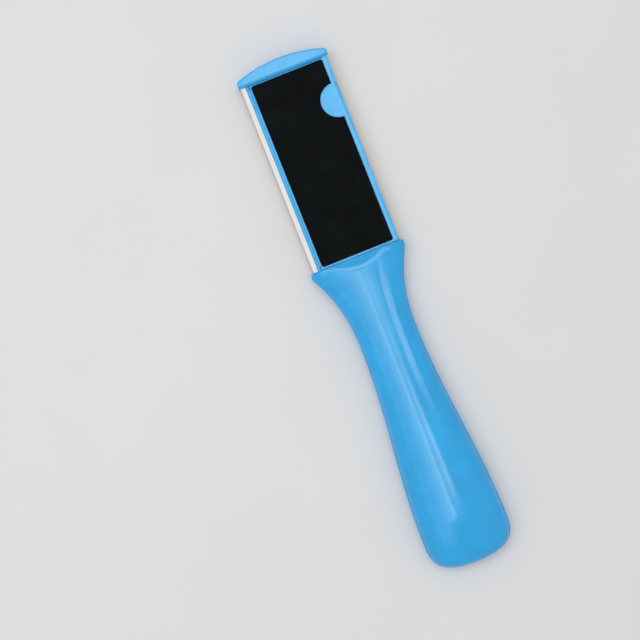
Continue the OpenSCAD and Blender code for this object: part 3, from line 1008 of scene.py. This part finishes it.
def add_ribs(bm, cover):
    """Draws the catch rib and the stiffening ribs down from the underside."""
    under = FACE - cover.thick
    rear = COVER_LOW.x + RIB_REAR
    front = COVER_HIGH.x - cover.knuckle
    split(bm, (rear, 0, 0), (1, 0, 0))
    bars = [(-CATCH_AT, -CATCH_AT + RIB_WIDTH, CATCH_DROP)]
    for side in (-1, 0, 1):
        middle = side * RIB_SPREAD / 2
        bars.append((middle - RIB_WIDTH / 2, middle + RIB_WIDTH / 2, RIB_DROP))
    for right, left, drop in bars:
        split(bm, (0, right, 0), (0, 1, 0))
        split(bm, (0, left, 0), (0, 1, 0))
        bm.normal_update()
        strip = [
            f for f in bm.faces
            if f.normal.z < -FACING and abs(f.calc_center_median().z - under) < NEAR
            and right < f.calc_center_median().y < left
            and rear < f.calc_center_median().x < front
        ]
        bmesh.ops.translate(bm, verts=push_out(bm, strip), vec=(0, 0, -drop))
    mark_line(bm, rear, under)
    mark_line(bm, front, under)
    bead = under - CATCH_DROP + RIB_WIDTH
    for height in (-1, 0, 1):
        split(bm, (0, 0, bead + height * CATCH_BEAD), (0, 0, 1))
    for vert in bm.verts:
        if abs(vert.co.z - bead) < NEAR and abs(vert.co.y + CATCH_AT) < NEAR:
            vert.co.y -= CATCH_BEAD


def sink_recess(bm, cover):
    """Sinks the bed of the abrasive into the top, round the half-moon."""
    bm.normal_update()
    top = [
        f for f in bm.faces
        if f.normal.z > FACING and f.calc_center_median().z > FACE - NEAR
        and f.calc_center_median().y < GROOVE_IN
    ]
    bmesh.ops.delete(bm, geom=top, context="FACES")
    rim = [e for e in bm.edges if e.is_boundary]
    bed = outline_face(bm, pad_outline(cover, 0, FACE))
    brink = bed.edges[:]
    bmesh.ops.delete(bm, geom=[bed], context="FACES_ONLY")
    bmesh.ops.triangle_fill(bm, use_beauty=True, use_dissolve=False, edges=rim + brink)
    floor = [e for e in brink if e.is_valid]
    sunk = draw_out(bm, floor, lambda p: Vector((p.x, p.y, FACE - cover.recess)))
    bmesh.ops.contextual_create(bm, geom=sunk)
    quarter(bm, (COVER_LOW + COVER_HIGH) / 2)


def quarter(bm, middle):
    """Cuts the top rim into four and marks the cuts, so that no face can close round the recess."""
    level = FACE - NEAR
    for normal in (Vector((1, 0, 0)), Vector((0, 1, 0))):
        rim = [f for f in bm.faces if all(v.co.z > level for v in f.verts)]
        split(bm, middle, normal, geom=with_borders(rim))
        for edge in bm.edges:
            cut = all(abs((v.co - middle).dot(normal)) < TOUCH for v in edge.verts)
            if cut and all(v.co.z > level for v in edge.verts):
                edge.seam = True


def soften_cover(bm, cover):
    """Rounds the edges that catch the light: the rims, the half-moon and the notch."""
    bm.normal_update()
    level = [
        e for e in bm.edges
        if all(v.co.z > FACE - NEAR for v in e.verts) and len(e.link_faces) == 2
        and e.calc_face_angle(0) > math.radians(SHARP_ANGLE)
    ]
    round_edges(bm, level, cover.edge, 3)


class FOOTFILE_OT_cover(bpy.types.Operator):
    """Moulds the hinged back cover with its thumb tab"""
    bl_idname = "foot_file.cover"
    bl_label = "Back cover"

    def execute(self, context):
        cover = context.scene.file_cover
        # The cover's lighter blue is painted light for the overhead light on its flat faces.
        blue = moulded_blue("cover_blue_painted_light", cover.blue)
        finish_piece(
            build_cover(cover), "tabbed_cover", "cover", ["back_cover"], blue,
        )
        return {"FINISHED"}


GRIT_EDGE = 0.08 * MM


class FOOTFILE_OT_abrasive(bpy.types.Operator):
    """Cuts the black abrasive sheet round the thumb tab"""
    bl_idname = "foot_file.abrasive"
    bl_label = "Abrasive sheet"

    def execute(self, context):
        cover = context.scene.file_cover
        bm = bmesh.new()
        outline = pad_outline(cover, cover.pad_gap, EMERY_LOW.z)
        lift(bm, outline_face(bm, outline), (0, 0, EMERY_HIGH.z - EMERY_LOW.z))
        close_up(bm)
        rims = [e for e in bm.edges if all(v.co.z > EMERY_HIGH.z - NEAR for v in e.verts)]
        round_edges(bm, rims, GRIT_EDGE, 2)
        close_up(bm)
        grit = black_grit("black_grit", cover.grit)
        finish_piece(bm, "abrasive_sheet", "cover", ["emery_sheet"], grit)
        return {"FINISHED"}


class FOOTFILE_OT_insides(bpy.types.Operator):
    """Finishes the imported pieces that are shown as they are"""
    bl_idname = "foot_file.insides"
    bl_label = "Frame, pins and film"

    def execute(self, context):
        dress_node("head_frame", moulded_blue("frame_blue", context.scene.file_handle.blue))
        wire = pin_wire("pin_wire")
        dress_node("front_hinge_pin", wire)
        dress_node("rear_hinge_pin", wire)
        dress_node("adhesive_film", adhesive("tacky_film"))
        return {"FINISHED"}


PANEL_HEIGHT = 0.95
ROOM_LIGHT = 0.56

# Soft panels above the file: middle along X and Y, length, width, brightness
PANELS = {
    "head_panel": (0.25, -0.075, 0.40, 0.29, 2.9),
    "grip_panel_left": (-0.08, 0.0365, 0.30, 0.067, 3.9),
    "grip_panel_right": (-0.0875, -0.0635, 0.175, 0.053, 4.8),
    "collar_panel": (0.025, -0.065, 0.05, 0.07, 2.0),
    "fade_near": (-0.10, 0.135, 0.32, 0.13, 1.8),
    "fade_middle": (-0.135, 0.27, 0.39, 0.14, 0.9),
    "fade_far": (-0.135, 0.57, 0.39, 0.46, 0.45),
    "fade_end": (-0.475, 0.36, 0.35, 0.44, 0.6),
    "head_side": (0.24, 0.42, 0.34, 0.70, 2.4),
    "shoulder_strip": (0.0485, -0.415, 0.083, 0.29, 3.7),
}


def add_panel(name, x, y, length, width, brightness):
    """A soft rectangular lamp that faces down."""
    lamp = bpy.data.lights.new(name, "AREA")
    lamp.shape = "RECTANGLE"
    lamp.size = length
    lamp.size_y = width
    lamp.energy = brightness * math.pi * length * width
    panel = bpy.data.objects.new(name, lamp)
    panel.location = (x, y, PANEL_HEIGHT)
    bpy.context.scene.collection.objects.link(panel)


FLOOR_HALF = 3
FLOOR_PARTS = 8


def add_floor(settings):
    """A pale paper floor under the file."""
    bm = bmesh.new()
    bmesh.ops.create_grid(bm, x_segments=FLOOR_PARTS, y_segments=FLOOR_PARTS, size=FLOOR_HALF)
    mesh = bpy.data.meshes.new("floor")
    bm.to_mesh(mesh)
    bm.free()
    paper = Finish("pale_paper")
    shade = [channel * 0.98 for channel in settings.floor]
    cloud = paper.noise(14, detail=3)
    paper.drive("Base Color", paper.ramp(cloud, [(0.3, shade), (0.7, settings.floor)]))
    paper.set(Roughness=0.8, Specular_IOR_Level=0.2)
    mesh.materials.append(paper.material)
    floor = bpy.data.objects.new("floor", mesh)
    bpy.context.scene.collection.objects.link(floor)


def add_camera(settings):
    """The camera looks straight down, turned as the file lies in the photograph."""
    lens = bpy.data.cameras.new("camera")
    lens.sensor_width = 36
    lens.lens = lens.sensor_width * (settings.camera_height - FACE) / settings.view_width
    camera = bpy.data.objects.new("camera", lens)
    camera.location = (settings.camera_x, settings.camera_y, settings.camera_height)
    camera.rotation_euler.z = settings.camera_turn
    bpy.context.scene.collection.objects.link(camera)
    bpy.context.scene.camera = camera


def add_room_light():
    world = bpy.data.worlds.new("soft_room")
    world.use_nodes = True
    background = world.node_tree.nodes["Background"]
    background.inputs["Color"].default_value = (1, 1, 1, 1)
    background.inputs["Strength"].default_value = ROOM_LIGHT
    bpy.context.scene.world = world


class FOOTFILE_OT_stage(bpy.types.Operator):
    """Sets up the floor, the soft lamps and the camera"""
    bl_idname = "foot_file.stage"
    bl_label = "Stage"

    def execute(self, context):
        settings = context.scene.file_stage
        add_floor(settings)
        add_camera(settings)
        add_room_light()
        for name, panel in PANELS.items():
            add_panel(name, *panel)
        context.scene.view_settings.view_transform = "Standard"
        return {"FINISHED"}


OPERATORS = (
    FOOTFILE_OT_handle, FOOTFILE_OT_cap, FOOTFILE_OT_rasp, FOOTFILE_OT_cover,
    FOOTFILE_OT_abrasive, FOOTFILE_OT_insides, FOOTFILE_OT_stage,
)


class FOOTFILE_PT_panel(bpy.types.Panel):
    """The file's pieces, in the order in which they are made"""
    bl_idname = "FOOTFILE_PT_panel"
    bl_label = "Foot file"
    bl_space_type = "VIEW_3D"
    bl_region_type = "UI"
    bl_category = "Foot file"

    def draw(self, context):
        for operator in OPERATORS:
            self.layout.operator(operator.bl_idname)


GROUPS = (
    ("file_handle", HandleSizes), ("file_head", HeadSizes),
    ("file_cover", CoverSizes), ("file_stage", StageSettings),
)


def register():
    for name, group in GROUPS:
        bpy.utils.register_class(group)
        setattr(bpy.types.Scene, name, PointerProperty(type=group))
    for operator in OPERATORS:
        bpy.utils.register_class(operator)
    bpy.utils.register_class(FOOTFILE_PT_panel)


def unregister():
    bpy.utils.unregister_class(FOOTFILE_PT_panel)
    for operator in reversed(OPERATORS):
        bpy.utils.unregister_class(operator)
    for name, group in reversed(GROUPS):
        delattr(bpy.types.Scene, name)
        bpy.utils.unregister_class(group)


def main():
    register()
    bpy.ops.foot_file.handle()
    bpy.ops.foot_file.cap()
    bpy.ops.foot_file.rasp()
    bpy.ops.foot_file.cover()
    bpy.ops.foot_file.abrasive()
    bpy.ops.foot_file.insides()
    bpy.ops.foot_file.stage()


if __name__ == "__main__":
    main()
